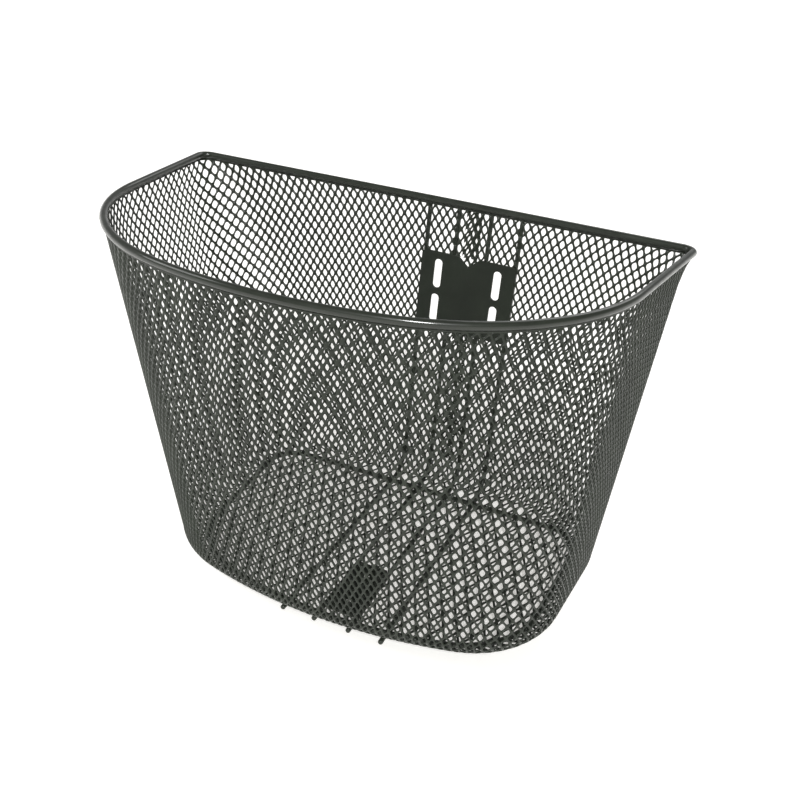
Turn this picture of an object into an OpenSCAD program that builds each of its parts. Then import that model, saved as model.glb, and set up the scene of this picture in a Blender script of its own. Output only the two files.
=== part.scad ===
// Bicycle handlebar basket: a D-shaped rim, an expanded-metal wall and floor, support wires and two plates.
// The flat back faces +Y, the rounded front faces -Y, and the basket stands on its support wires at z = 0.

/* [Rim] */
// Width of the rim, between the middles of its side wires
rim_w = 350; // [330:1:380]
// Height of the rim's middle above the ground
rim_z = 210.5; // [200:0.5:260]
// Diameter of the rim
rim_d = 5; // [4:0.5:6]
// Bend radius of the rim's two back corners
rim_corner_r = 7; // [5:1:20]
// Straight length of each side of the rim
rim_side = 94; // [70:1:110]
// Inward lean of the rim's sides towards the front, in degrees
rim_lean = 8.6; // [0:0.1:12]
// Bend radius where a side turns into the front
rim_shoulder_r = 133.5; // [110:0.5:150]
// Angle through which each shoulder turns, in degrees
rim_shoulder_turn = 67; // [50:1:72]

/* [Floor] */
// Width of the floor ring, between the middles of its side wires
ring_w = 234.5; // [225:0.5:250]
// Diameter of the floor ring's wire
ring_d = 3.5; // [3:0.5:4]
// Bend radius of the floor ring's back corners
ring_corner_r = 21.5; // [15:0.5:30]
// Straight length of each side of the floor ring
ring_side = 72.5; // [60:0.5:85]
// Inward lean of the floor ring's sides towards the front, in degrees
ring_lean = 3.2; // [0:0.1:10]
// Bend radius of the floor ring's front shoulders
ring_shoulder_r = 58; // [40:0.5:65]
// Angle through which each shoulder of the floor ring turns, in degrees
ring_shoulder_turn = 70.5; // [50:0.5:75]
// Distance of the floor ring's back wire from the back wall
ring_setback = 25.5; // [18:1:28]
// Sideways distance of the floor's centre line from the rim's centre line
floor_shift = 29.4; // [0:0.1:32]

/* [Foot of the wall] */
// Width of the foot, where the wall meets the curl under the floor's edge
foot_w = 272.5; // [265:0.5:285]
// Bend radius of the foot's back corners
foot_corner_r = 70; // [40:1:75]
// Straight length of each side of the foot
foot_side = 56; // [45:0.5:85]
// Inward lean of the foot's sides towards the front, in degrees
foot_lean = 5; // [0:0.1:8]
// Bend radius of the foot's front shoulders
foot_shoulder_r = 62; // [50:0.5:75]
// Angle through which each shoulder of the foot turns, in degrees
foot_shoulder_turn = 69; // [60:0.5:72]

/* [Mesh] */
// Thickness of the mesh sheets
mesh_t = 1.2; // [1:0.1:1.5]
// Radius of the curl between wall and floor
curl_r = 13; // [10:1:15]
// Bend radius of the wall's back corners just below the rim
wall_corner_r = 22; // [20:1:45]
// Depth below the rim over which the wall's corners draw in to the rim's
corner_drop = 14; // [8:1:20]
// Width of the double layer where the two ends of the wall sheet overlap
seam_w = 11; // [8:1:14]

/* [Support wires] */
// Diameter of the support wires
wire_d = 3; // [2.5:0.5:4]
// Distance between the middles of the two inner wires
inner_gap = 22.4; // [20:0.1:24]
// Distance between the middles of the two outer wires
outer_gap = 64; // [60:0.5:68]
// Sideways distance of the wires' centre line from the rim's centre line
wire_shift = 33.5; // [0:0.5:36]
// Length of the wires along the ground, from the back wall to their front ends
wire_reach = 186.5; // [180:0.5:188]

/* [Mounting plate] */
// Width of the mounting plate
plate_w = 67; // [65:0.5:70]
// Height of the mounting plate
plate_h = 55.5; // [52:0.5:60]
// Thickness of both plates
plate_t = 1.5; // [1:0.5:2]
// Height of the mounting plate's middle above the ground
plate_z = 148; // [110:1:160]
// Width of the four slots
slot_w = 5.5; // [5:0.5:6]
// End-to-end length of the slots
slot_l = 20.5; // [18:0.5:22]
// Distance between the two columns of slots
slot_cols = 42; // [41:0.5:43]
// Distance between the middles of the upper and lower slots
slot_rows = 25; // [24:0.5:26]
// Width of the notch in the plate's top edge
notch_w = 15; // [10:1:20]
// Depth of the notch in the plate's top edge
notch_depth = 6.5; // [4:0.5:8]

/* [Floor plate] */
// Length of the floor plate, front to back
floor_plate_l = 50; // [45:1:55]
// Distance from the back wall to the floor plate's middle
floor_plate_y = 149; // [140:1:150]
// Diameter of the floor plate's two holes
floor_hole_d = 4; // [3:0.5:5]
// Distance between the floor plate's two holes
floor_hole_gap = 27; // [20:1:30]

/* [Hidden] */
$fn = 48;
steel = [0.20, 0.22, 0.20];
painted = [0.28, 0.30, 0.28];

// An outline is [width, corner radius, side length, lean, shoulder radius, shoulder turn].
// It starts at the middle of its straight back line, y = 0, and its front is -Y.
rim = [rim_w, rim_corner_r, rim_side, rim_lean, rim_shoulder_r, rim_shoulder_turn];
ring = [ring_w, ring_corner_r, ring_side, ring_lean, ring_shoulder_r, ring_shoulder_turn];
soft_side = rim_side - (wall_corner_r - rim_corner_r) * tan((90 + rim_lean) / 2);
soft_rim = [rim_w, wall_corner_r, soft_side, rim_lean, rim_shoulder_r, rim_shoulder_turn];
foot = [foot_w, foot_corner_r, foot_side, foot_lean, foot_shoulder_r, foot_shoulder_turn];

// Heights, from the ground up: the support wires, the floor ring on them and the floor sheet on the ring
floor_z = wire_d + ring_d;
floor_mid = floor_z + mesh_t / 2;
foot_z = floor_mid + curl_r;
wall_top = rim_z - rim_d / 2;

// The back wall's plane, with the origin in the middle of the basket's length
wire_y = (mesh_t + wire_d) / 2;
front_reach = -front_apex(rim) + rim_d / 2;
back_reach = wire_y + wire_d / 2;
back_y = (front_reach - back_reach) / 2;

// How many steps each bend of the mesh surfaces takes
corner_steps = 6;
shoulder_steps = 9;
front_steps = 9;
curl_steps = 5;
wire_sides = 12;
wire_bend_steps = 8;

// Direction at an angle measured clockwise from +Y
function dir(a) = [sin(a), cos(a)];

// The right half's three arcs, each [centre, radius, first angle, last angle]
function arcs(d) =
    let (turn = 90 + d[3],
         corner = [d[0] / 2 - d[1] * tan(turn / 2), -d[1]],
         side_end = corner + d[1] * dir(turn) + d[2] * [cos(turn), -sin(turn)],
         shoulder = side_end - d[4] * dir(turn),
         last = turn + d[5],
         shoulder_end = shoulder + d[4] * dir(last),
         front_r = shoulder_end[0] / sin(last))
    [[corner, d[1], 0, turn],
     [shoulder, d[4], turn, last],
     [[0, shoulder_end[1] - front_r * cos(last)], front_r, last, 180]];

// Y of the middle of an outline's front
function front_apex(d) = let (front = arcs(d)[2]) front[0][1] - front[1];

// Points along one arc, moved outwards by off
function arc_points(arc, off, first, steps) =
    [for (k = [first:steps]) arc[0] + (arc[1] + off) * dir(arc[2] + (arc[3] - arc[2]) * k / steps)];

// The right half of an outline, from the end of its back line to the middle of its front
function half_outline(d, off) =
    let (a = arcs(d))
    concat(arc_points(a[0], off, 0, corner_steps),
           arc_points(a[1], off, 0, shoulder_steps),
           arc_points(a[2], off, 1, front_steps));

// The whole outline, clockwise from the back line's right end, moved sideways by shift
function outline(d, off, shift) =
    let (right = half_outline(d, off), n = len(right))
    concat([for (p = right) [p[0] + shift, p[1]]],
           [for (k = [1:n - 1]) [shift - right[n - 1 - k][0], right[n - 1 - k][1]]]);

// An outline lifted to height z
function level(points, z) = [for (p = points) [p[0], p[1] + back_y, z]];

// One side of the curl: the foot outline at a distance r from the curl's middle, from wall to floor
function curl_levels(r) =
    [for (k = [0:curl_steps])
        let (a = 90 * k / curl_steps)
        level(outline(foot, r * cos(a) - curl_r, floor_shift), foot_z - r * sin(a))];

// The wall's outline where its corners start to draw in: between the foot and the rim, with softer corners
function soft_level(off) =
    let (share = 1 - corner_drop / (wall_top - foot_z),
         low = outline(foot, off, floor_shift),
         high = outline(soft_rim, off, 0))
    level([for (i = [0:len(low) - 1]) low[i] * (1 - share) + high[i] * share], wall_top - corner_drop);

function backwards(list) = [for (k = [len(list) - 1:-1:0]) list[k]];

// A skin over rings of points, each ring clockwise from above or from the first ring's end.
// A looped skin joins its last ring to its first; any other is closed with a flat cap at each end.
module skin(rings, looped) {
    n = len(rings[0]);
    m = len(rings);
    last = looped ? m - 1 : m - 2;
    sides = [for (j = [0:last]) for (i = [0:n - 1])
        let (i2 = (i + 1) % n,
             j2 = (j + 1) % m)
        each [[j * n + i, j2 * n + i2, j * n + i2],
              [j * n + i, j2 * n + i, j2 * n + i2]]];
    caps = [[for (i = [0:n - 1]) i],
            [for (i = [0:n - 1]) m * n - 1 - i]];
    polyhedron([for (ring_points = rings) each ring_points], looped ? sides : concat(sides, caps));
}

// A round wire bent along an outline: its rings run along the outline, one for each direction round the wire
module outline_wire(d, wire, shift, back, z) {
    rings = [for (k = [0:wire_sides - 1])
        let (a = -360 * k / wire_sides)
        [for (p = outline(d, wire / 2 * cos(a), shift)) [p[0], p[1] + back_y - back, z + wire / 2 * sin(a)]]];
    skin(rings, true);
}

module top_rim() {
    color(painted) outline_wire(rim, rim_d, 0, 0, rim_z);
}

module floor_ring() {
    color(steel) outline_wire(ring, ring_d, floor_shift, ring_setback, wire_d + ring_d / 2);
}

// The wall sheet: straight from the rim to the foot, curled in under the floor's edge, open behind the plate
module wall_mesh() {
    half = mesh_t / 2;
    top_outside = level(outline(rim, half, 0), wall_top);
    top_inside = level(outline(rim, -half, 0), wall_top);
    levels = concat([top_outside, soft_level(half)],
                    curl_levels(curl_r + half),
                    backwards(curl_levels(curl_r - half)),
                    [soft_level(-half), top_inside]);
    color(steel) difference() {
        skin(levels, true);
        translate([wire_shift - plate_w / 2, back_y - 5, plate_z - plate_h / 2])
            cube([plate_w, 10, plate_h]);
    }
}

// The second layer of mesh where the wall sheet's ends overlap, between the inner wires
module wall_seam() {
    color(steel)
        translate([wire_shift - seam_w / 2, back_y + mesh_t / 2, foot_z])
        cube([seam_w, mesh_t, wall_top - foot_z]);
}

// The two screw holes through the floor and the plate under it
module floor_holes() {
    for (end = [-1, 1])
        translate([wire_shift, back_y - floor_plate_y + end * floor_hole_gap / 2, 0])
            cylinder(h = floor_z + mesh_t + 1, d = floor_hole_d);
}

// The floor sheet, from one end of the wall's curl to the other
module floor_mesh() {
    color(steel) difference() {
        translate([0, back_y, floor_z])
            linear_extrude(mesh_t)
            polygon(outline(foot, -curl_r, floor_shift));
        floor_holes();
    }
}

// A support wire: down the back wall from the rim, round the curl and forwards under the floor.
// Each place on its path is [y, z, angle], with the angle 0 where it runs down and 90 where it runs forwards.
module support_wire(x) {
    bend_r = foot_z - wire_d / 2;
    bend_y = back_y + wire_y - bend_r;
    bend = [for (k = [0:wire_bend_steps])
        let (a = 90 * k / wire_bend_steps)
        [bend_y + bend_r * cos(a), foot_z - bend_r * sin(a), a]];
    path = concat([[back_y + wire_y, wall_top, 0]], bend, [[back_y - wire_reach, wire_d / 2, 90]]);
    color(steel) translate([wire_shift + x, 0, 0]) skin([for (p = path) wire_ring(p)], false);
}

// The points round a support wire at one place on its path
function wire_ring(p) =
    [for (k = [0:wire_sides - 1])
        let (a = 360 * k / wire_sides,
             out = -wire_d / 2 * sin(a))
        [wire_d / 2 * cos(a), p[0] + out * cos(p[2]), p[1] - out * sin(p[2])]];

module wire_left_outer() { support_wire(-outer_gap / 2); }

module wire_left_inner() { support_wire(-inner_gap / 2); }

module wire_right_inner() { support_wire(inner_gap / 2); }

module wire_right_outer() { support_wire(outer_gap / 2); }

// A plate outline with rounded corners, drawn about its middle
module rounded_plate(w, h, r) {
    square([w - 2 * r, h], center = true);
    square([w, h - 2 * r], center = true);
    for (x = [-1, 1]) for (y = [-1, 1])
        translate([x * (w / 2 - r), y * (h / 2 - r)]) circle(r = r);
}

// A slot with round ends, standing upright about its middle
module slot_shape() {
    straight = slot_l - slot_w;
    square([slot_w, straight], center = true);
    for (end = [-1, 1])
        translate([0, end * straight / 2]) circle(d = slot_w);
}

// The V cut into the middle of the plate's top edge
module notch_shape() {
    polygon([[-notch_w / 2, 1],
             [-notch_w / 2, 0],
             [0, -notch_depth],
             [notch_w / 2, 0],
             [notch_w / 2, 1]]);
}

// The plate that a handlebar bracket bolts to, welded to the fronts of the four wires
module mounting_plate() {
    plate_corner_r = 3;
    color(painted)
        translate([wire_shift, back_y + mesh_t / 2, plate_z])
        rotate([90, 0, 0])
        linear_extrude(plate_t)
        difference() {
            rounded_plate(plate_w, plate_h, plate_corner_r);
            for (column = [-1, 1]) for (row = [-1, 1])
                translate([column * slot_cols / 2, row * slot_rows / 2]) slot_shape();
            translate([0, plate_h / 2]) notch_shape();
        }
}

// The plate between the inner wires, under the floor
module floor_plate() {
    color(painted) difference() {
        translate([wire_shift, back_y - floor_plate_y, wire_d - plate_t])
            linear_extrude(plate_t)
            square([inner_gap - wire_d, floor_plate_l], center = true);
        floor_holes();
    }
}

top_rim();
wall_mesh();
wall_seam();
floor_mesh();
floor_ring();
wire_left_outer();
wire_left_inner();
wire_right_inner();
wire_right_outer();
mounting_plate();
floor_plate();
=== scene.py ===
"""The looks of an open-mesh handlebar basket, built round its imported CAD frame. Lengths are in metres."""
import math

import bpy
import numpy as np
from mathutils import Matrix, Vector


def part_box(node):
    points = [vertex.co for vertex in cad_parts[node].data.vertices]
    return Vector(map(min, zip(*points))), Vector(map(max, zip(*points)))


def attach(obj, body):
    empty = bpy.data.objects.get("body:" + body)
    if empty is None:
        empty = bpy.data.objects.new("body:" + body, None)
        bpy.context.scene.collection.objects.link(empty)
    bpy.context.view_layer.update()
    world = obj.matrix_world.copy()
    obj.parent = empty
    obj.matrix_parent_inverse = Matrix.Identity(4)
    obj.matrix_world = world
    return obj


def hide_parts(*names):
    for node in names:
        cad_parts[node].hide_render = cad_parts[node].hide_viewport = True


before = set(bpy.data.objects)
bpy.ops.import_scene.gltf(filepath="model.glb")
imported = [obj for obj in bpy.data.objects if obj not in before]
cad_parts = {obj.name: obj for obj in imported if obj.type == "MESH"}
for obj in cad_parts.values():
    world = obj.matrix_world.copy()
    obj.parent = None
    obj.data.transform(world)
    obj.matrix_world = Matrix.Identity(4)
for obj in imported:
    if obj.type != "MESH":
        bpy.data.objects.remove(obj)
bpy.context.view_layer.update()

# The CAD's driving dimensions
RIM = {"width": 0.350, "corner_r": 0.007, "side": 0.094, "lean": 8.6, "shoulder_r": 0.1335, "turn": 67}
RING = {"width": 0.2345, "corner_r": 0.0215, "side": 0.0725, "lean": 3.2, "shoulder_r": 0.058, "turn": 70.5}
FOOT = {"width": 0.2725, "corner_r": 0.070, "side": 0.056, "lean": 5, "shoulder_r": 0.062, "turn": 69}
SOFT_CORNER_R = 0.022
SOFT_SIDE = RIM["side"] - (SOFT_CORNER_R - RIM["corner_r"]) * math.tan(math.radians((90 + RIM["lean"]) / 2))
SOFT_RIM = dict(RIM, corner_r=SOFT_CORNER_R, side=SOFT_SIDE)
CORNER_DROP = 0.014
RIM_R = 0.0025
RING_R = 0.00175
RING_SETBACK = 0.0255
FLOOR_SHIFT = 0.0294
CURL_R = 0.013
SHEET_T = 0.0012
WIRE_R = 0.0015
PLATE_T = 0.0015
SLOT_W = 0.0055
SLOT_L = 0.0205
SLOT_COLS = 0.042
SLOT_ROWS = 0.025
NOTCH_W = 0.015
NOTCH_DEPTH = 0.0065
SCREW_GAP = 0.027
SCREW_R = 0.002

# Places read from the CAD frame
BACK_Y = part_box("wall_seam")[0].y - SHEET_T / 2
FLOOR_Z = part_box("floor_mesh")[0].z + SHEET_T / 2
FOOT_Z = FLOOR_Z + CURL_R
WALL_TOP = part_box("top_rim")[0].z
RIM_Z = WALL_TOP + RIM_R
RING_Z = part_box("floor_ring")[0].z + RING_R
PLATE_LOW, PLATE_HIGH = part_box("mounting_plate")
FLOOR_PLATE_LOW, FLOOR_PLATE_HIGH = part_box("floor_plate")
SEAM_LOW, SEAM_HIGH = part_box("wall_seam")
PLATE_MID = (PLATE_LOW + PLATE_HIGH) / 2
FLOOR_PLATE_MID = (FLOOR_PLATE_LOW + FLOOR_PLATE_HIGH) / 2
SCREW_SPOTS = [np.array([FLOOR_PLATE_MID.x, FLOOR_PLATE_MID.y + SCREW_GAP * k]) for k in (-0.5, 0.5)]
SEAM_X = PLATE_MID.x
WIRE_NAMES = ("wire_left_outer", "wire_left_inner", "wire_right_inner", "wire_right_outer")

# The expanded metal
STRAND_T = 0.0011
# How the wall's mesh is stretched, at distances (mm) along the rim from the seam, clockwise from above:
# the width and height of a diamond (mm), the slope of its rows and the lean of its columns
PITCH = ((0, 5.5), (70, 5.8), (340, 6.1), (440, 5.3), (500, 5.6), (685, 7.7), (750, 7.9), (815, 7.3),
         (885, 6.0), (981, 5.5))
ROW_HEIGHT = ((0, 8.8), (112, 8.6), (170, 8.0), (750, 7.95), (800, 8.55), (981, 8.8))
ROW_SLOPE = ((0, -0.02), (66, -0.11), (112, -0.24), (130, -0.28), (170, 0.19), (300, 0.17), (447, 0),
             (510, -0.08), (600, -0.04), (685, 0.07), (750, 0.02), (795, 0.42), (844, 0.27), (885, 0.14),
             (919, 0.07), (981, 0))
COLUMN_LEAN = ((0, 0), (250, 0), (330, 0.2), (560, 0.2), (650, 0), (981, 0))
# The height at which the rows are counted from, and the lower edge of the sheet's uncut top
REFERENCE_Z = 0.175
BAND_LOW = WALL_TOP - 0.0010


# ---------------------------------------------------------------- outlines

def heading(degrees):
    """Unit vectors at angles measured clockwise from +Y."""
    a = np.radians(degrees)
    return np.stack([np.sin(a), np.cos(a)], -1)


def outline(o, shift, steps):
    """Points clockwise from the middle of the back line, and their outward directions.

    steps are the numbers of steps along the back line, corner, side, shoulder and front of one half.
    """
    turn = 90 + o["lean"]
    last = turn + o["turn"]
    corner_x = o["width"] / 2 - o["corner_r"] * math.tan(math.radians(turn / 2))
    corner = np.array([corner_x, -o["corner_r"]])
    along = np.array([math.cos(math.radians(turn)), -math.sin(math.radians(turn))])
    side_end = corner + o["corner_r"] * heading(turn) + o["side"] * along
    shoulder = side_end - o["shoulder_r"] * heading(turn)
    shoulder_end = shoulder + o["shoulder_r"] * heading(last)
    front_r = shoulder_end[0] / math.sin(math.radians(last))
    front = np.array([0, shoulder_end[1] - front_r * math.cos(math.radians(last))])

    def line(a, b, n, angle):
        f = np.arange(n)[:, None] / n
        return a + (b - a) * f, np.repeat(heading(angle)[None], n, 0)

    def arc(middle, r, first, end, n, closed=0):
        out = heading(first + (end - first) * np.arange(n + closed) / n)
        return middle + r * out, out

    parts = [line(np.zeros(2), np.array([corner_x, 0]), steps[0], 0),
             arc(corner, o["corner_r"], 0, turn, steps[1]),
             line(corner + o["corner_r"] * heading(turn), side_end, steps[2], turn),
             arc(shoulder, o["shoulder_r"], turn, last, steps[3]),
             arc(front, front_r, last, 180, steps[4], 1)]
    points = np.vstack([p[0] for p in parts])
    outs = np.vstack([p[1] for p in parts])
    mirror = np.array([-1, 1])
    points = np.vstack([points, points[-2:0:-1] * mirror]) + [shift, 0]
    outs = np.vstack([outs, outs[-2:0:-1] * mirror])
    return points, outs


# ---------------------------------------------------------------- the wall's surface

class WallSurface:
    """The wall's middle surface, looked up by the share of the way round from the seam, and by height.

    Height 0 is the foot, where the straight wall meets the curl. Below it, height runs along the curl.
    """
    COLUMNS = 2400
    CURL_ROWS = 10
    WALL_ROWS = 24

    def __init__(self):
        fine = (160, 80, 120, 160, 120)
        rim, _ = outline(RIM, 0, fine)
        soft, _ = outline(SOFT_RIM, 0, fine)
        foot, foot_out = outline(FOOT, FLOOR_SHIFT, fine)
        self.rim_length = np.linalg.norm(rim - np.roll(rim, 1, 0), axis=1).sum()
        self.wall_height = WALL_TOP - FOOT_Z
        soft_height = self.wall_height - CORNER_DROP
        soft_share = soft_height / self.wall_height
        soft_plan = foot * (1 - soft_share) + soft * soft_share
        curl = -CURL_R * math.pi / 2 * np.linspace(1, 0, self.CURL_ROWS, endpoint=False)
        wall = np.append(np.linspace(0, soft_height, self.WALL_ROWS), self.wall_height)
        self.levels = np.concatenate([curl, wall])
        rows = []
        for h in self.levels:
            if h < 0:
                a = -h / CURL_R
                plan = foot + foot_out * CURL_R * (math.cos(a) - 1)
                z = FOOT_Z - CURL_R * math.sin(a)
                shift = FLOOR_SHIFT
            else:
                t = h / self.wall_height
                up = min(h / soft_height, 1)
                sharp = max(h - soft_height, 0) / CORNER_DROP
                plan = (foot * (1 - up) + soft_plan * up) * (1 - sharp) + rim * sharp
                z = FOOT_Z + h
                shift = FLOOR_SHIFT * (1 - t)
            rows.append(self.even(plan, SEAM_X - shift, z))
        self.points = np.array(rows)
        across = np.gradient(self.points, axis=1)
        across[:, [0, -1]] = (self.points[:, 1] - self.points[:, -2])[:, None] / 2
        upward = np.gradient(self.points, self.levels, axis=0)
        normal = np.cross(upward, across)
        self.normals = normal / np.linalg.norm(normal, axis=2, keepdims=True)

    def even(self, plan, start, z):
        """One outline as COLUMNS + 1 evenly spaced points, starting the distance start along it."""
        closed = np.vstack([plan, plan[:1]])
        length = np.concatenate([[0], np.cumsum(np.linalg.norm(np.diff(closed, axis=0), axis=1))])
        where = (start + np.linspace(0, 1, self.COLUMNS + 1) * length[-1]) % length[-1]
        x = np.interp(where, length, closed[:, 0])
        y = np.interp(where, length, closed[:, 1]) + BACK_Y
        return np.stack([x, y, np.full_like(x, z)], -1)

    def look_up(self, table, share, height):
        column = (share % 1) * self.COLUMNS
        row = np.interp(height, self.levels, np.arange(len(self.levels)))
        c0 = np.minimum(column.astype(int), self.COLUMNS - 1)
        r0 = np.minimum(row.astype(int), len(self.levels) - 2)
        c = (column - c0)[:, None]
        r = (row - r0)[:, None]
        low = table[r0, c0] * (1 - c) + table[r0, c0 + 1] * c
        high = table[r0 + 1, c0] * (1 - c) + table[r0 + 1, c0 + 1] * c
        return low * (1 - r) + high * r

    def place(self, share, height, off):
        """Points at a share round, a height and a distance outside the middle surface."""
        normal = self.look_up(self.normals, share, height)
        normal /= np.linalg.norm(normal, axis=1, keepdims=True)
        return self.look_up(self.points, share, height) + normal * off[:, None]


# ---------------------------------------------------------------- meshes

def add_object(name, points, faces, material, smooth=True):
    """A mesh object from points and a list of faces or an array of four-cornered ones."""
    mesh = bpy.data.meshes.new(name)
    if isinstance(faces, np.ndarray):
        mesh.vertices.add(len(points))
        mesh.vertices.foreach_set("co", np.asarray(points, np.float32).ravel())
        mesh.loops.add(faces.size)
        mesh.loops.foreach_set("vertex_index", faces.astype(np.int32).ravel())
        mesh.polygons.add(len(faces))
        mesh.polygons.foreach_set("loop_start", np.arange(len(faces), dtype=np.int32) * faces.shape[1])
        mesh.update(calc_edges=True)
        mesh.validate()
    else:
        mesh.from_pydata([tuple(p) for p in points], [], faces)
    mesh.polygons.foreach_set("use_smooth", np.full(len(mesh.polygons), smooth))
    mesh.materials.append(material)
    mesh.update()
    piece = bpy.data.objects.new(name, mesh)
    bpy.context.scene.collection.objects.link(piece)
    return piece


def finished(piece, slot, *nodes):
    """Puts a piece on the basket's one body, in place of the CAD nodes named."""
    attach(piece, "root")
    if nodes:
        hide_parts(*nodes)
    return piece


# One diamond cell: its corners in half diagonals, the steps along a side, the share of it that is hole, how
# sharp the hole's corners are, and how far one side of the hole stands off the sheet
CELL_CORNERS = np.array([[1, 0], [0, 1], [-1, 0], [0, -1]], float)
SIDE_STEPS = 3
HOLE_SHARE = 0.76
HOLE_SQUARENESS = 4
TWIST = 0.00025


def cell_border():
    """The border of one diamond cell, anticlockwise, in half diagonals."""
    points = []
    for k in range(4):
        a = CELL_CORNERS[k]
        b = CELL_CORNERS[(k + 1) % 4]
        points += [a + (b - a) * step / SIDE_STEPS for step in range(SIDE_STEPS)]
    return np.array(points)


def cell_hole(border, share, squareness):
    """The hole's edge in one cell: a diamond with rounded corners."""
    a = np.abs(border[:, 0] + border[:, 1])
    b = np.abs(border[:, 0] - border[:, 1])
    reach = (a ** squareness + b ** squareness) ** (1 / squareness)
    return border * (share / reach)[:, None]


def expanded_metal(name, cells, place, material, share=HOLE_SHARE, squareness=HOLE_SQUARENESS):
    """Expanded metal from the middles of its diamond cells, counted in half diagonals.

    place turns columns, rows and distances off the sheet into points, and says which points it had to move
    to the sheet's edge. A face with all its corners moved is left out.
    """
    border = cell_border()
    hole = cell_hole(border, share, squareness)
    n = len(border)
    crown = STRAND_T / 2
    edge = crown * 0.5
    lean = -TWIST * hole[:, 0] / np.abs(hole[:, 0]).max()
    rings = [np.column_stack([border, np.full(n, crown)]),
             np.column_stack([hole, edge + lean]),
             np.column_stack([hole, -edge + lean]),
             np.column_stack([border, np.full(n, -crown)])]
    cell = np.vstack(rings)
    lattice = np.repeat(cell[None], len(cells), 0)
    lattice[:, :, :2] += cells[:, None, :]
    lattice = lattice.reshape(-1, 3)
    k = np.arange(n)
    after = (k + 1) % n
    quads = np.vstack([np.column_stack([r * n + k, r * n + after, (r + 1) * n + after, (r + 1) * n + k])
                       for r in range(3)])
    faces = (quads[None] + (np.arange(len(cells)) * len(cell))[:, None, None]).reshape(-1, 4)
    key = np.round(lattice * [600, 600, 1e7]).astype(np.int64)
    _, first, same = np.unique(key, axis=0, return_index=True, return_inverse=True)
    faces = same.reshape(-1)[faces]
    points, moved = place(*lattice[first].T)
    faces = faces[~moved[faces].all(axis=1)]
    used, faces = np.unique(faces, return_inverse=True)
    return add_object(name, points[used], faces.reshape(-1, 4), material)


def tube(name, path, radius, sides, material, closed=False):
    """A round wire along a path. An open one has rounded ends."""
    path = np.asarray(path, float)
    radii = np.full(len(path), radius)
    if not closed:
        path, radii = rounded_ends(path, radius)
    ahead = np.roll(path, -1, 0) - np.roll(path, 1, 0)
    if not closed:
        ahead[0] = path[1] - path[0]
        ahead[-1] = path[-1] - path[-2]
    ahead /= np.linalg.norm(ahead, axis=1, keepdims=True)
    flat = np.abs(path[:, 2] - path[0, 2]).max() < 1e-9
    side = np.array([0, 0, 1.0]) if flat else np.array([1.0, 0, 0])
    other = np.cross(ahead, side)
    angle = 2 * np.pi * np.arange(sides) / sides
    ring = side[None, None] * np.cos(angle)[None, :, None] + other[:, None] * np.sin(angle)[None, :, None]
    points = (path[:, None] + ring * radii[:, None, None]).reshape(-1, 3)
    rows = len(path)
    k = np.arange(sides)
    after = (k + 1) % sides
    faces = []
    for r in range(rows if closed else rows - 1):
        r2 = (r + 1) % rows
        here, there = r * sides, r2 * sides
        faces += np.column_stack([here + k, here + after, there + after, there + k]).tolist()
    if not closed:
        faces.append(list(range(sides))[::-1])
        faces.append([(rows - 1) * sides + j for j in range(sides)])
    return add_object(name, points, faces, material)


def rounded_ends(path, radius):
    """An open path with extra points near its ends, and the wire's radius at each."""
    steps = np.radians([0, 30, 55, 75])
    start = path[1] - path[0]
    start /= np.linalg.norm(start)
    end = path[-1] - path[-2]
    end /= np.linalg.norm(end)
    soft = radius * 0.5
    first = [path[0] + start * soft * (1 - math.cos(a)) for a in steps]
    final = [path[-1] - end * soft * (1 - math.cos(a)) for a in steps[::-1]]
    grow = radius - soft * (1 - np.sin(steps))
    radii = np.concatenate([grow, np.full(len(path), radius), grow[::-1]])
    middle = path.copy()
    middle[0] = path[0] + start * soft
    middle[-1] = path[-1] - end * soft
    return np.vstack([first, middle, final]), radii


# ---------------------------------------------------------------- materials

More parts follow.
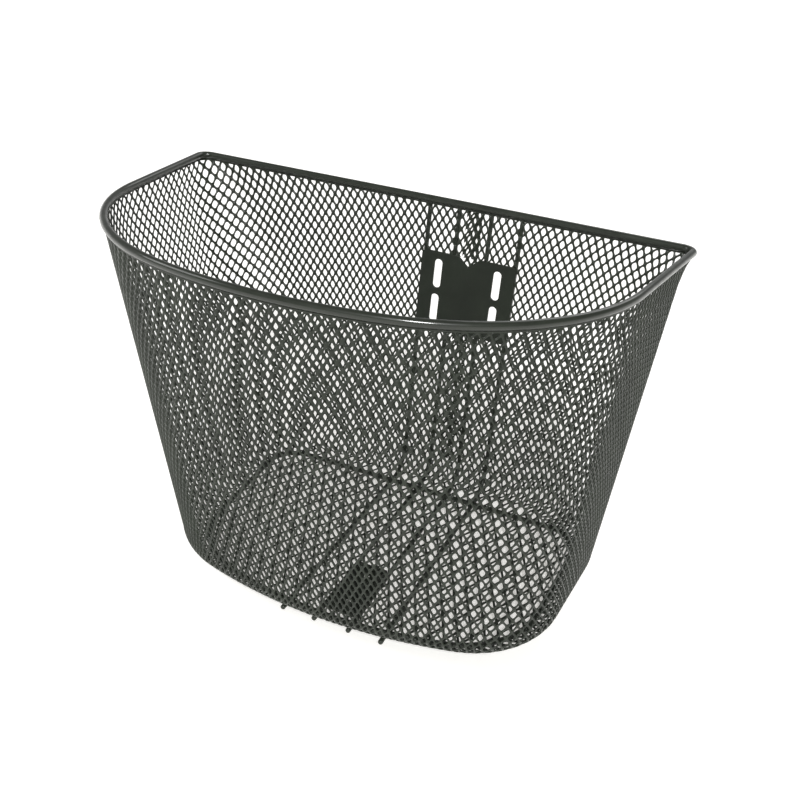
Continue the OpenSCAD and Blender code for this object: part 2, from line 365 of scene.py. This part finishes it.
def paint(name, colour, roughness, grain, grain_depth, glint, coat=0.15, coat_roughness=0.25):
    """Stoved paint: a fine orange peel, cloudy gloss, small changes of tone and a few pale specks."""
    material = bpy.data.materials.new(name)
    material.use_nodes = True
    nodes = material.node_tree.nodes
    links = material.node_tree.links
    shader = nodes["Principled BSDF"]
    shader.inputs["Specular IOR Level"].default_value = glint
    shader.inputs["Coat Weight"].default_value = coat
    shader.inputs["Coat Roughness"].default_value = coat_roughness
    place = nodes.new("ShaderNodeTexCoord")

    def noise(scale, detail):
        node = nodes.new("ShaderNodeTexNoise")
        node.inputs["Scale"].default_value = scale
        node.inputs["Detail"].default_value = detail
        links.new(place.outputs["Object"], node.inputs["Vector"])
        return node

    def ramp(source, stops):
        node = nodes.new("ShaderNodeValToRGB")
        for element, (at, value) in zip(node.color_ramp.elements, stops):
            element.position = at
            element.color = (*value, 1)
        links.new(source, node.inputs["Fac"])
        return node

    clouds = noise(38, 4)
    dark = [c * 0.78 for c in colour]
    light = [c * 1.25 for c in colour]
    tone = ramp(clouds.outputs["Fac"], [(0.32, dark), (0.70, light)])
    fine = noise(900, 3)
    specks = ramp(fine.outputs["Fac"], [(0.66, (0, 0, 0)), (0.78, (0.22, 0.22, 0.22))])
    mix = nodes.new("ShaderNodeMix")
    mix.data_type = "RGBA"
    links.new(specks.outputs["Color"], mix.inputs["Factor"])
    links.new(tone.outputs["Color"], mix.inputs["A"])
    mix.inputs["B"].default_value = (*[min(c * 3 + 0.03, 1) for c in colour], 1)
    links.new(mix.outputs["Result"], shader.inputs["Base Color"])

    gloss = nodes.new("ShaderNodeMapRange")
    gloss.inputs["From Min"].default_value = 0.3
    gloss.inputs["From Max"].default_value = 0.7
    gloss.inputs["To Min"].default_value = roughness - 0.07
    gloss.inputs["To Max"].default_value = roughness + 0.09
    links.new(noise(140, 3).outputs["Fac"], gloss.inputs["Value"])
    links.new(gloss.outputs["Result"], shader.inputs["Roughness"])

    bump = nodes.new("ShaderNodeBump")
    bump.inputs["Strength"].default_value = 0.5
    bump.inputs["Distance"].default_value = grain_depth
    links.new(noise(grain, 2).outputs["Fac"], bump.inputs["Height"])
    links.new(bump.outputs["Normal"], shader.inputs["Normal"])
    return material


PAINT = (0.017, 0.022, 0.0145)
rim_paint = paint("rim_paint", (0.016, 0.020, 0.0135), 0.36, 420, 0.00005, 0.3, 0.7, 0.10)
mesh_paint = paint("mesh_paint", PAINT, 0.42, 900, 0.00006, 0.35)
wire_paint = paint("wire_paint", PAINT, 0.40, 620, 0.00007, 0.35)
plate_paint = paint("plate_paint", (0.0105, 0.0145, 0.009), 0.48, 300, 0.00006, 0.3)


# ---------------------------------------------------------------- the mesh sheets

def stretched(knots, distance):
    """A value given at a few distances (mm) round the wall, at other distances (metres)."""
    at, value = zip(*knots)
    return np.interp(np.asarray(distance) * 1000, at, value)


class Stretch:
    """How the wall's diamonds run round the basket: where each column stands and how high each row is."""

    def __init__(self, length):
        self.distance = np.linspace(0, length, 2000)
        step = self.distance[1]
        passed = np.cumsum(step / (stretched(PITCH, self.distance) / 1000)) - step / (PITCH[0][1] / 1000)
        self.columns = round(passed[-1])
        self.passed = passed * self.columns / passed[-1]
        self.rise = np.cumsum(stretched(ROW_SLOPE, self.distance)) * step
        self.length = length

    def share(self, column):
        return np.interp(column / 2, self.passed, self.distance) / self.length

    def leaned(self, share, height):
        """The share round the wall of a point on a column, which leans as it goes down."""
        drop = REFERENCE_Z - FOOT_Z - height
        return share + stretched(COLUMN_LEAN, share * self.length) * drop / self.length

    def height(self, share, row):
        distance = share * self.length
        step = stretched(ROW_HEIGHT, distance) / 2000
        return REFERENCE_Z - FOOT_Z + row * step + np.interp(distance, self.distance, self.rise)


def wall_place(surface, stretch):
    """Where a point of the wall's mesh goes: kept between the floor's edge, the top band and the plate."""
    low = surface.levels[0]
    high = BAND_LOW + 0.0004 - FOOT_Z

    def place(column, row, off):
        share = stretch.share(column)
        height = stretch.height(share, row)
        moved = (height < low) | (height > high) | (column < 0) | (column > 2 * stretch.columns)
        height = np.clip(height, low, high)
        points = surface.place(stretch.leaned(share, height), height, off)
        x, y, z = points.T
        reach_x = (PLATE_HIGH.x - PLATE_LOW.x) / 2 - 0.0004
        reach_z = (PLATE_HIGH.z - PLATE_LOW.z) / 2 - 0.0004
        dx = x - PLATE_MID.x
        dz = z - PLATE_MID.z
        inside = (np.abs(dx) < reach_x) & (np.abs(dz) < reach_z) & (y > BACK_Y - 0.01)
        to_side = inside & (reach_x - np.abs(dx) < reach_z - np.abs(dz))
        to_end = inside & ~to_side
        points[to_side, 0] = PLATE_MID.x + np.sign(dx[to_side]) * reach_x
        points[to_end, 2] = PLATE_MID.z + np.sign(dz[to_end]) * reach_z
        return points, moved | inside

    return place


def diamond_cells(columns, rows):
    """The middles of the cells: every column of a row, with the next row set half a diamond across."""
    return np.array([(i, k) for k in rows for i in columns if (i + k) % 2 == 0], float)


def make_wall(surface, stretch):
    """The wall sheet and its curl, in four pieces that meet edge to edge."""
    place = wall_place(surface, stretch)
    quarters = ("back_right", "front_right", "front_left", "back_left")
    bounds = np.linspace(-1, 2 * stretch.columns + 2, len(quarters) + 1).astype(int)
    for k, quarter in enumerate(quarters):
        cells = diamond_cells(range(bounds[k], bounds[k + 1]), range(-70, 40))
        piece = expanded_metal("wall_mesh_" + quarter, cells, place, mesh_paint)
        finished(piece, "mesh", "wall_mesh")


def make_band(surface):
    """The sheet's uncut top edge, a narrow strip tucked under the rim."""
    count = 600
    shares = np.arange(count) / count
    low = BAND_LOW - FOOT_Z
    top = WALL_TOP + 0.0006 - FOOT_Z
    half = STRAND_T / 2
    bevel = 0.0002
    levels = [(low + bevel, half), (low, half - bevel), (low, bevel - half), (low + bevel, -half),
              (top, -half), (top, half)]
    rows = [surface.place(shares, np.full(count, h), np.full(count, off)) for h, off in levels]
    faces = []
    for r in range(len(levels)):
        r2 = (r + 1) % len(levels)
        faces += [[r * count + k, r2 * count + k, r2 * count + (k + 1) % count, r * count + (k + 1) % count]
                  for k in range(count)]
    finished(add_object("wall_top_edge", np.vstack(rows), faces, mesh_paint, smooth=False), "mesh")


def make_seam(stretch):
    """The second layer where the sheet's ends overlap, a narrow strip of the same mesh."""
    middle_y = (SEAM_LOW.y + SEAM_HIGH.y) / 2
    half_w = (SEAM_HIGH.x - SEAM_LOW.x) / 2
    step_x = PITCH[0][1] / 2000

    def place(column, row, off):
        x = (column - 2.6) * step_x
        z = FOOT_Z + stretch.height(np.zeros_like(row), row + 0.9)
        moved = (np.abs(x) > half_w) | (z < SEAM_LOW.z) | (z > BAND_LOW)
        x = np.clip(x, -half_w, half_w)
        z = np.clip(z, SEAM_LOW.z, BAND_LOW)
        points = np.stack([SEAM_X + x, middle_y + off, z], -1)
        return points, moved

    cells = diamond_cells(range(-3, 9), range(-40, 12))
    finished(expanded_metal("wall_seam_strip", cells, place, mesh_paint, share=0.72), "mesh", "wall_seam")


def make_floor():
    """The floor sheet's diamonds, trimmed to the curl's edge and opened out round the floor plate's holes."""
    foot, out = outline(FOOT, FLOOR_SHIFT, (60, 30, 40, 60, 60))
    edge = foot - out * CURL_R + [0, BACK_Y]
    along = np.array([0.0045, 0.0100])
    across = np.array([0.00435, -0.0102])
    start = np.array([SEAM_X, BACK_Y - 0.09])

    def place(column, row, off):
        flat = start + np.outer(column, (along + across) / 2) + np.outer(row, (along - across) / 2)
        nearest, outside = to_outline(flat, edge)
        flat[outside] = nearest[outside]
        in_hole = np.zeros(len(flat), bool)
        clear_r = SCREW_R + 0.0001
        for screw in SCREW_SPOTS:
            arm = flat - screw
            far = np.linalg.norm(arm, axis=1)
            near = far < clear_r
            flat[near] = screw + arm[near] / np.maximum(far[near], 1e-6)[:, None] * clear_r
            in_hole |= near
        return np.column_stack([flat, FLOOR_Z + off]), outside | in_hole

    cells = []
    for i in range(-26, 27):
        for j in range(-26, 27):
            column, row = i + j, i - j
            spot = start + column * (along + across) / 2 + row * (along - across) / 2
            if np.abs(spot[0] - FLOOR_SHIFT) < 0.15 and abs(spot[1] - start[1]) < 0.12:
                cells.append((column, row))
    finished(expanded_metal("floor_mesh_sheet", np.array(cells, float), place, mesh_paint, share=0.83,
                            squareness=9), "mesh", "floor_mesh")


def to_outline(spots, edge):
    """The nearest place on a closed outline to each spot, and which spots lie outside it."""
    after = np.roll(edge, -1, 0)
    best = np.full(len(spots), np.inf)
    nearest = np.zeros_like(spots)
    crossings = np.zeros(len(spots), int)
    for a, b in zip(edge, after):
        ab = b - a
        t = np.clip(((spots - a) @ ab) / (ab @ ab), 0, 1)
        foot = a + t[:, None] * ab
        gap = ((spots - foot) ** 2).sum(1)
        closer = gap < best
        best[closer] = gap[closer]
        nearest[closer] = foot[closer]
        spans = (a[1] > spots[:, 1]) != (b[1] > spots[:, 1])
        x = a[0] + (spots[:, 1] - a[1]) * ab[0] / (ab[1] if ab[1] else 1e-12)
        crossings += spans & (spots[:, 0] < x)
    return nearest, crossings % 2 == 0


# ---------------------------------------------------------------- wires and plates

def make_rim():
    """The round tube round the top, a hair thinner than the CAD's, whose arcs are made of chords."""
    plan, _ = outline(RIM, 0, (6, 14, 6, 40, 40))
    path = np.column_stack([plan[:, 0], plan[:, 1] + BACK_Y, np.full(len(plan), RIM_Z)])
    finished(tube("top_rim_tube", path, RIM_R - 0.00012, 24, rim_paint, closed=True), "rim", "top_rim")


def make_ring():
    """The wire under the floor mesh's edge."""
    plan, _ = outline(RING, FLOOR_SHIFT, (6, 16, 6, 32, 32))
    path = np.column_stack([plan[:, 0], plan[:, 1] + BACK_Y - RING_SETBACK, np.full(len(plan), RING_Z)])
    finished(tube("floor_ring_wire", path, RING_R, 18, wire_paint, closed=True), "wire", "floor_ring")


def make_wires():
    """The four support wires, each down the back, round the curl and forwards under the floor."""
    for name in WIRE_NAMES:
        low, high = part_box(name)
        x = (low.x + high.x) / 2
        y = high.y - WIRE_R
        bend_r = FOOT_Z - WIRE_R
        bend_y = y - bend_r
        path = [[x, y, high.z]]
        path += [[x, y, high.z - (high.z - FOOT_Z) * k / 6] for k in range(1, 6)]
        for a in np.radians(np.linspace(0, 90, 17)):
            path.append([x, bend_y + bend_r * math.cos(a), FOOT_Z - bend_r * math.sin(a)])
        path += [[x, bend_y + (low.y - bend_y) * k / 6, WIRE_R] for k in range(1, 7)]
        finished(tube(name + "_round", path, WIRE_R, 16, wire_paint), "wire", name)


def flat_plate(name, outer, holes, thickness, bevel, material):
    """A plate from an outline and holes, with softened edges, in the XY plane about its middle."""
    curve = bpy.data.curves.new(name + "_outline", "CURVE")
    curve.dimensions = "2D"
    curve.fill_mode = "BOTH"
    curve.extrude = thickness / 2 - bevel
    curve.bevel_depth = bevel
    curve.bevel_resolution = 2
    curve.offset = -bevel
    for loop in [outer] + holes:
        spline = curve.splines.new("POLY")
        spline.points.add(len(loop) - 1)
        for point, (x, y) in zip(spline.points, loop):
            point.co = (x, y, 0, 1)
        spline.use_cyclic_u = True
    holder = bpy.data.objects.new(name + "_holder", curve)
    bpy.context.scene.collection.objects.link(holder)
    graph = bpy.context.evaluated_depsgraph_get()
    mesh = bpy.data.meshes.new_from_object(holder.evaluated_get(graph))
    bpy.data.objects.remove(holder)
    mesh.name = name
    mesh.materials.clear()
    mesh.materials.append(material)
    piece = bpy.data.objects.new(name, mesh)
    bpy.context.scene.collection.objects.link(piece)
    return piece


def arc_points(x, y, r, first, last, steps):
    angles = np.radians(np.linspace(first, last, steps + 1))
    return [(x + r * math.cos(a), y + r * math.sin(a)) for a in angles]


def slot_outline(x, y, w, length):
    """An upright slot with round ends."""
    reach = (length - w) / 2
    return arc_points(x, y + reach, w / 2, 0, 180, 16) + arc_points(x, y - reach, w / 2, 180, 360, 16)


def make_mounting_plate():
    """The upright plate on the back wires, with four slots and a V notch."""
    w = PLATE_HIGH.x - PLATE_LOW.x
    h = PLATE_HIGH.z - PLATE_LOW.z
    r = 0.003
    x, y = w / 2 - r, h / 2 - r
    outer = arc_points(x, y, r, 0, 90, 8)
    outer += [(NOTCH_W / 2, h / 2), (0, h / 2 - NOTCH_DEPTH), (-NOTCH_W / 2, h / 2)]
    outer += arc_points(-x, y, r, 90, 180, 8)
    outer += arc_points(-x, -y, r, 180, 270, 8)
    outer += arc_points(x, -y, r, 270, 360, 8)
    holes = [slot_outline(cx * SLOT_COLS / 2, cy * SLOT_ROWS / 2, SLOT_W, SLOT_L)
             for cx in (-1, 1) for cy in (-1, 1)]
    piece = flat_plate("mounting_plate_steel", outer, holes, PLATE_T, 0.00025, plate_paint)
    piece.data.transform(Matrix.Translation(PLATE_MID) @ Matrix.Rotation(math.pi / 2, 4, "X"))
    finished(piece, "plate", "mounting_plate")


def make_floor_plate():
    """The small plate under the floor, with two round holes."""
    w = FLOOR_PLATE_HIGH.x - FLOOR_PLATE_LOW.x
    h = FLOOR_PLATE_HIGH.y - FLOOR_PLATE_LOW.y
    r = 0.0012
    outer = []
    for k, (sx, sy) in enumerate([(1, 1), (-1, 1), (-1, -1), (1, -1)]):
        outer += arc_points(sx * (w / 2 - r), sy * (h / 2 - r), r, 90 * k, 90 * k + 90, 5)
    holes = [arc_points(0, SCREW_GAP * k, SCREW_R, 0, 345, 23) for k in (-0.5, 0.5)]
    piece = flat_plate("floor_plate_steel", outer, holes, PLATE_T, 0.00025, plate_paint)
    piece.data.transform(Matrix.Translation(FLOOR_PLATE_MID))
    finished(piece, "plate", "floor_plate")


# ---------------------------------------------------------------- stage, light and camera

def make_stage():
    """A wide pale floor under the basket."""
    points = [(-30, -30, 0), (30, -30, 0), (30, 30, 0), (-30, 30, 0)]
    material = bpy.data.materials.new("pale_floor")
    material.use_nodes = True
    shader = material.node_tree.nodes["Principled BSDF"]
    shader.inputs["Base Color"].default_value = (0.86, 0.86, 0.85, 1)
    shader.inputs["Roughness"].default_value = 0.9
    shader.inputs["Specular IOR Level"].default_value = 0.1
    shader.inputs["Emission Color"].default_value = (0.38, 0.37, 0.352, 1)
    shader.inputs["Emission Strength"].default_value = 1
    floor = add_object("pale_floor", points, [[0, 1, 2, 3]], material, smooth=False)


def softbox(name, place, size, power, target):
    """A round area light that faces the target."""
    light = bpy.data.lights.new(name, "AREA")
    light.shape = "DISK"
    light.size = size
    light.energy = power
    holder = bpy.data.objects.new(name, light)
    bpy.context.scene.collection.objects.link(holder)
    holder.location = place
    holder.rotation_euler = (Vector(target) - Vector(place)).to_track_quat("-Z", "Y").to_euler()


def make_light():
    """A room that is pale at the horizon, a soft sun above the camera and two softboxes."""
    world = bpy.data.worlds.new("soft_room")
    world.use_nodes = True
    background = world.node_tree.nodes["Background"]
    background.inputs["Color"].default_value = (1, 1, 1, 1)
    links = world.node_tree.links
    direction = world.node_tree.nodes.new("ShaderNodeTexCoord")
    height = world.node_tree.nodes.new("ShaderNodeSeparateXYZ")
    fade = world.node_tree.nodes.new("ShaderNodeMapRange")
    fade.inputs["From Max"].default_value = 0.25
    fade.inputs["To Min"].default_value = 0.85
    fade.inputs["To Max"].default_value = 0.22
    links.new(direction.outputs["Generated"], height.inputs["Vector"])
    links.new(height.outputs["Z"], fade.inputs["Value"])
    links.new(fade.outputs["Result"], background.inputs["Strength"])
    bpy.context.scene.world = world
    middle = (0.0, 0.0, 0.1)
    sunbeam = Vector((-0.34, 0.82, -0.74))
    sun = bpy.data.lights.new("key_light", "SUN")
    sun.energy = 2.9
    sun.angle = math.radians(12)
    holder = bpy.data.objects.new("key_light", sun)
    bpy.context.scene.collection.objects.link(holder)
    holder.rotation_euler = sunbeam.to_track_quat("-Z", "Y").to_euler()
    softbox("left_light", (-1.5, -0.6, 1.3), 0.9, 8, middle)
    softbox("back_light", (0.2, 1.6, 1.5), 1.2, 6, middle)


CAMERA_AT = Vector((0.2090, -0.4716, 0.3730))
CAMERA_AZIMUTH = 20.324
CAMERA_ELEVATION = 27.017
CAMERA_ROLL = 5.618
CAMERA_LENS = 42.28


def make_camera():
    """The camera at the viewing angle of the reference view: azimuth, elevation and a small roll."""
    az = math.radians(CAMERA_AZIMUTH)
    el = math.radians(CAMERA_ELEVATION)
    roll = math.radians(CAMERA_ROLL)
    behind = Vector((math.sin(az) * math.cos(el), -math.cos(az) * math.cos(el), math.sin(el)))
    level = Vector((math.cos(az), math.sin(az), 0))
    upright = behind.cross(level)
    right = level * math.cos(roll) + upright * math.sin(roll)
    up = upright * math.cos(roll) - level * math.sin(roll)
    data = bpy.data.cameras.new("view_camera")
    data.lens = CAMERA_LENS
    data.sensor_width = 36
    data.clip_start = 0.01
    camera = bpy.data.objects.new("view_camera", data)
    bpy.context.scene.collection.objects.link(camera)
    turn = Matrix((right, up, behind)).transposed().to_4x4()
    camera.matrix_world = Matrix.Translation(CAMERA_AT) @ turn
    bpy.context.scene.camera = camera


make_camera()
make_stage()
make_light()
bpy.context.scene.view_settings.view_transform = "Standard"
wall = WallSurface()
mesh_stretch = Stretch(wall.rim_length)
make_wall(wall, mesh_stretch)
make_band(wall)
make_seam(mesh_stretch)
make_floor()
make_rim()
make_ring()
make_wires()
make_mounting_plate()
make_floor_plate()
